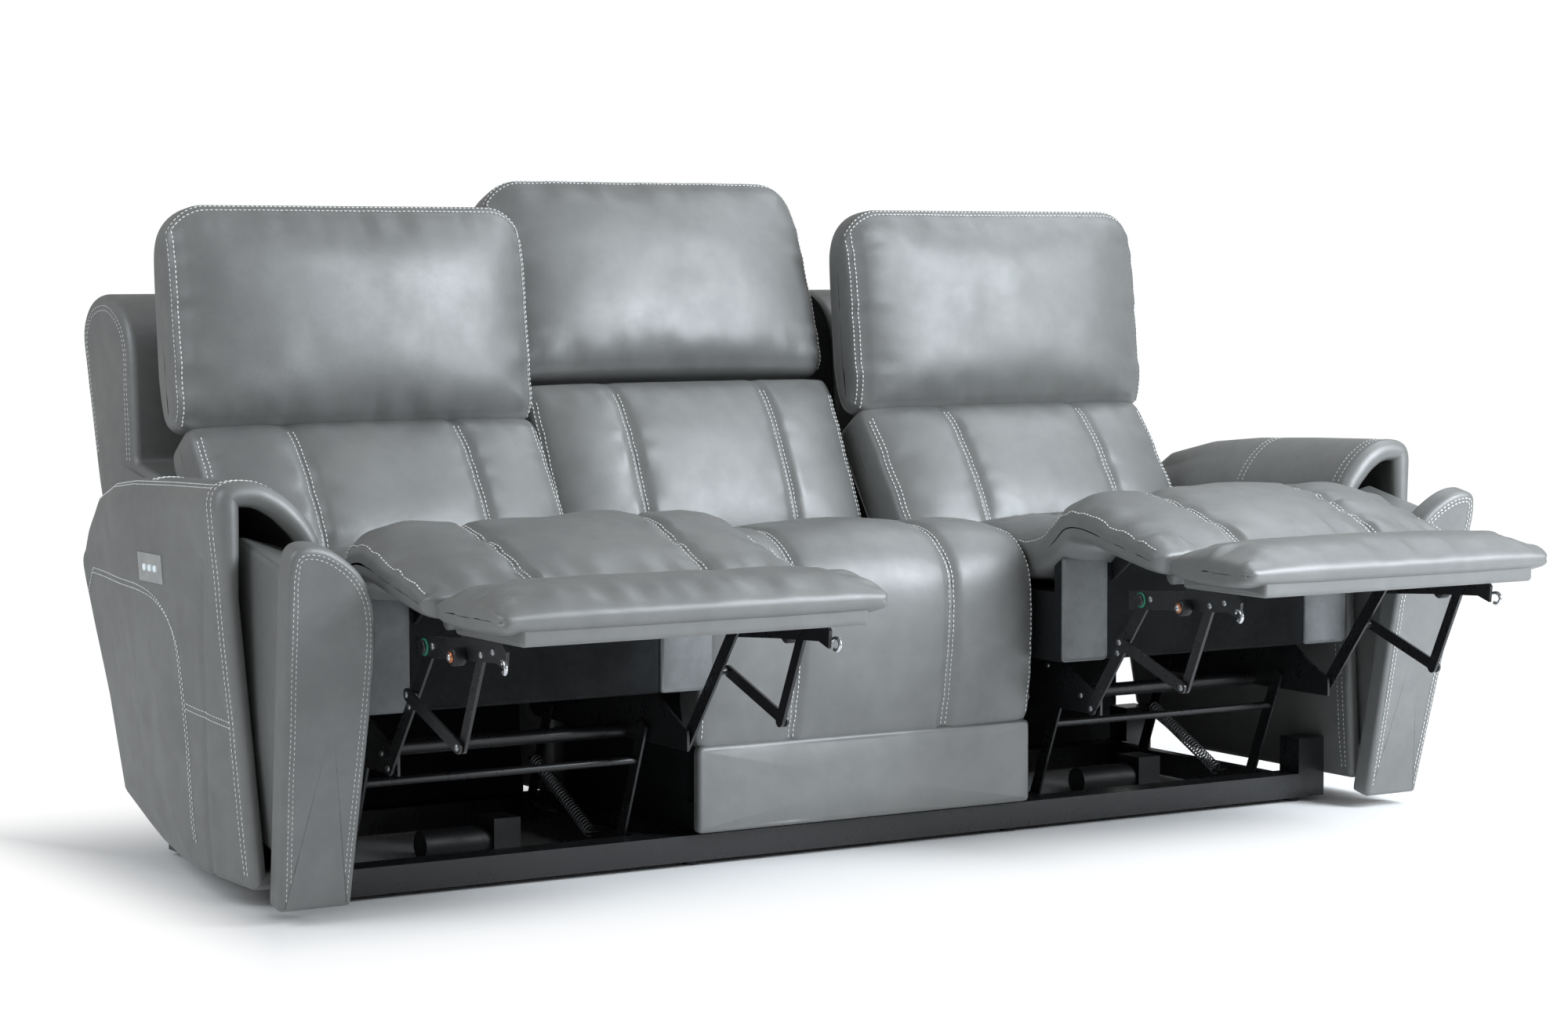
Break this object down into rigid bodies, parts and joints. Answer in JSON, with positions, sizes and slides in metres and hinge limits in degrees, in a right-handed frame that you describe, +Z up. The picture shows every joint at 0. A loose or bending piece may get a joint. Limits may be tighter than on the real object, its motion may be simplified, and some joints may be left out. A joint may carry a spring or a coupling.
{
  "type": "power reclining sofa",
  "caption": "Grey leather power reclining sofa, both outer seats opened with raised two-part footrests, fixed middle seat, tilting arm fronts.",
  "frame": {"origin": "floor level, under the middle of the whole opened sofa", "axes": "+X along the sofa to its right as seen from the front, -Y to the front, +Z up"},
  "size_m": [2.1714, 1.454, 1.0259],
  "materials": {
    "grey_leather": "satin",
    "black_steel": "satin",
    "frame_wood": "matte",
    "control_metal": "satin",
    "key_plastic": "gloss",
    "bin_plastic": "matte",
    "foot_plastic": "matte"
  },
  "bodies": {
    "base": {"base_front_rail": "black_steel", "base_frame": "black_steel", "base_feet": "foot_plastic", "middle_seat_box": "frame_wood", "middle_seat_cushion": "grey_leather", "middle_skirt": "grey_leather", "middle_back_shell": "grey_leather", "middle_lumbar_cushion": "grey_leather", "middle_head_cushion": "grey_leather", "arm_shell_left": "grey_leather", "arm_shell_right": "grey_leather", "control_plates": "control_metal", "motors": "black_steel", "arm_hinge_pins": "black_steel", "spring_left": "black_steel", "spring_right": "black_steel"},
    "carriage_left": {"carriage_plates_left": "black_steel", "seat_box_left": "frame_wood", "seat_cushion_left": "grey_leather"},
    "swing_front_left": {"swing_front_links_left": "black_steel"},
    "swing_rear_left": {"swing_rear_links_left": "black_steel"},
    "back_left": {"back_shell_left": "grey_leather", "back_hinges_left": "black_steel", "lumbar_cushion_left": "grey_leather"},
    "headrest_left": {"head_cushion_left": "grey_leather", "head_bracket_left": "black_steel"},
    "footrest_left": {"footrest_board_left": "frame_wood", "footrest_pad_left": "grey_leather"},
    "extension_left": {"extension_board_left": "frame_wood", "extension_pad_left": "grey_leather", "ottoman_brackets_left": "black_steel"},
    "long_link_left": {"long_links_left": "black_steel"},
    "stay_link_left": {"stay_links_left": "black_steel"},
    "arm_tray_left": {"arm_front_left": "grey_leather", "arm_bin_left": "bin_plastic"},
    "key_left_open": {"button_left_open": "key_plastic"},
    "key_left_close": {"button_left_close": "key_plastic"},
    "key_left_headrest": {"button_left_headrest": "key_plastic"},
    "carriage_right": {"carriage_plates_right": "black_steel", "seat_box_right": "frame_wood", "seat_cushion_right": "grey_leather"},
    "swing_front_right": {"swing_front_links_right": "black_steel"},
    "swing_rear_right": {"swing_rear_links_right": "black_steel"},
    "back_right": {"back_shell_right": "grey_leather", "back_hinges_right": "black_steel", "lumbar_cushion_right": "grey_leather"},
    "headrest_right": {"head_cushion_right": "grey_leather", "head_bracket_right": "black_steel"},
    "footrest_right": {"footrest_board_right": "frame_wood", "footrest_pad_right": "grey_leather"},
    "extension_right": {"extension_board_right": "frame_wood", "extension_pad_right": "grey_leather", "ottoman_brackets_right": "black_steel"},
    "long_link_right": {"long_links_right": "black_steel"},
    "stay_link_right": {"stay_links_right": "black_steel"},
    "arm_tray_right": {"arm_front_right": "grey_leather", "arm_bin_right": "bin_plastic"},
    "key_right_open": {"button_right_open": "key_plastic"},
    "key_right_close": {"button_right_close": "key_plastic"},
    "key_right_headrest": {"button_right_headrest": "key_plastic"}
  },
  "joints": [
    {"name": "carriage_slide_left", "type": "slide", "parent": "base", "child": "carriage_left", "axis": [0, 1, 0], "range_m": [0, 0.145]},
    {"name": "footrest_hinge_left", "type": "hinge", "parent": "carriage_left", "child": "footrest_left", "pos_m": [-0.612, -0.312, 0.45], "axis": [1, 0, 0], "range_deg": [0, 78.1]},
    {"name": "extension_hinge_left", "type": "hinge", "parent": "footrest_left", "child": "extension_left", "pos_m": [-0.612, -0.519, 0.428], "axis": [1, 0, 0], "range_deg": [0, 12.1]},
    {"name": "long_link_pivot_left", "type": "hinge", "parent": "extension_left", "child": "long_link_left", "pos_m": [-0.612, -0.414, 0.39], "axis": [1, 0, 0], "range_deg": [-127.6, 0]},
    {"name": "stay_link_pivot_left", "type": "hinge", "parent": "extension_left", "child": "stay_link_left", "pos_m": [-0.612, -0.522, 0.265], "axis": [1, 0, 0], "range_deg": [-199.6, 0]},
    {"name": "swing_front_pivot_left", "type": "hinge", "parent": "base", "child": "swing_front_left", "pos_m": [-0.612, -0.0945, 0.036], "axis": [1, 0, 0], "range_deg": [-44, 0]},
    {"name": "swing_rear_pivot_left", "type": "hinge", "parent": "base", "child": "swing_rear_left", "pos_m": [-0.612, 0.2055, 0.036], "axis": [1, 0, 0], "range_deg": [-44, 0], "deforming": ["spring_left"]},
    {"name": "back_recline_left", "type": "hinge", "parent": "carriage_left", "child": "back_left", "pos_m": [-0.612, 0.203, 0.38], "axis": [1, 0, 0], "range_deg": [0, 15]},
    {"name": "headrest_tilt_left", "type": "hinge", "parent": "back_left", "child": "headrest_left", "pos_m": [-0.612, 0.303, 0.65], "axis": [1, 0, 0], "range_deg": [-10, 20]},
    {"name": "arm_tray_hinge_left", "type": "hinge", "parent": "base", "child": "arm_tray_left", "pos_m": [-0.976, -0.271, 0.038], "axis": [1, 0, 0], "range_deg": [-16, 0]},
    {"name": "press_left_open", "type": "slide", "parent": "base", "child": "key_left_open", "axis": [0.9976, 0, 0.0695], "range_m": [0, 0.0015], "stiffness_N_per_m": 400},
    {"name": "press_left_close", "type": "slide", "parent": "base", "child": "key_left_close", "axis": [0.9976, 0, 0.0695], "range_m": [0, 0.0015], "stiffness_N_per_m": 400},
    {"name": "press_left_headrest", "type": "slide", "parent": "base", "child": "key_left_headrest", "axis": [0.9976, 0, 0.0695], "range_m": [0, 0.0015], "stiffness_N_per_m": 400},
    {"name": "carriage_slide_right", "type": "slide", "parent": "base", "child": "carriage_right", "axis": [0, 1, 0], "range_m": [0, 0.145]},
    {"name": "footrest_hinge_right", "type": "hinge", "parent": "carriage_right", "child": "footrest_right", "pos_m": [0.612, -0.312, 0.45], "axis": [1, 0, 0], "range_deg": [0, 78.1]},
    {"name": "extension_hinge_right", "type": "hinge", "parent": "footrest_right", "child": "extension_right", "pos_m": [0.612, -0.519, 0.428], "axis": [1, 0, 0], "range_deg": [0, 12.1]},
    {"name": "long_link_pivot_right", "type": "hinge", "parent": "extension_right", "child": "long_link_right", "pos_m": [0.612, -0.414, 0.39], "axis": [1, 0, 0], "range_deg": [-127.6, 0]},
    {"name": "stay_link_pivot_right", "type": "hinge", "parent": "extension_right", "child": "stay_link_right", "pos_m": [0.612, -0.522, 0.265], "axis": [1, 0, 0], "range_deg": [-199.6, 0]},
    {"name": "swing_front_pivot_right", "type": "hinge", "parent": "base", "child": "swing_front_right", "pos_m": [0.612, -0.0945, 0.036], "axis": [1, 0, 0], "range_deg": [-44, 0]},
    {"name": "swing_rear_pivot_right", "type": "hinge", "parent": "base", "child": "swing_rear_right", "pos_m": [0.612, 0.2055, 0.036], "axis": [1, 0, 0], "range_deg": [-44, 0], "deforming": ["spring_right"]},
    {"name": "back_recline_right", "type": "hinge", "parent": "carriage_right", "child": "back_right", "pos_m": [0.612, 0.203, 0.38], "axis": [1, 0, 0], "range_deg": [0, 15]},
    {"name": "headrest_tilt_right", "type": "hinge", "parent": "back_right", "child": "headrest_right", "pos_m": [0.612, 0.303, 0.65], "axis": [1, 0, 0], "range_deg": [-10, 20]},
    {"name": "arm_tray_hinge_right", "type": "hinge", "parent": "base", "child": "arm_tray_right", "pos_m": [0.976, -0.271, 0.038], "axis": [1, 0, 0], "range_deg": [-16, 0]},
    {"name": "press_right_open", "type": "slide", "parent": "base", "child": "key_right_open", "axis": [-0.9976, 0, 0.0695], "range_m": [0, 0.0015], "stiffness_N_per_m": 400},
    {"name": "press_right_close", "type": "slide", "parent": "base", "child": "key_right_close", "axis": [-0.9976, 0, 0.0695], "range_m": [0, 0.0015], "stiffness_N_per_m": 400},
    {"name": "press_right_headrest", "type": "slide", "parent": "base", "child": "key_right_headrest", "axis": [-0.9976, 0, 0.0695], "range_m": [0, 0.0015], "stiffness_N_per_m": 400}
  ],
  "couplings": [
    {"joint": "footrest_hinge_left", "follows": "carriage_slide_left", "rad_per_m": 9.3887},
    {"joint": "extension_hinge_left", "follows": "carriage_slide_left", "rad_per_m": 1.4444},
    {"joint": "long_link_pivot_left", "follows": "carriage_slide_left", "rad_per_m": -15.347},
    {"joint": "stay_link_pivot_left", "follows": "carriage_slide_left", "rad_per_m": -24.013},
    {"joint": "swing_front_pivot_left", "follows": "carriage_slide_left", "rad_per_m": -5.2805},
    {"joint": "swing_rear_pivot_left", "follows": "carriage_slide_left", "rad_per_m": -5.2805},
    {"joint": "footrest_hinge_right", "follows": "carriage_slide_right", "rad_per_m": 9.3887},
    {"joint": "extension_hinge_right", "follows": "carriage_slide_right", "rad_per_m": 1.4444},
    {"joint": "long_link_pivot_right", "follows": "carriage_slide_right", "rad_per_m": -15.347},
    {"joint": "stay_link_pivot_right", "follows": "carriage_slide_right", "rad_per_m": -24.013},
    {"joint": "swing_front_pivot_right", "follows": "carriage_slide_right", "rad_per_m": -5.2805},
    {"joint": "swing_rear_pivot_right", "follows": "carriage_slide_right", "rad_per_m": -5.2805}
  ]
}
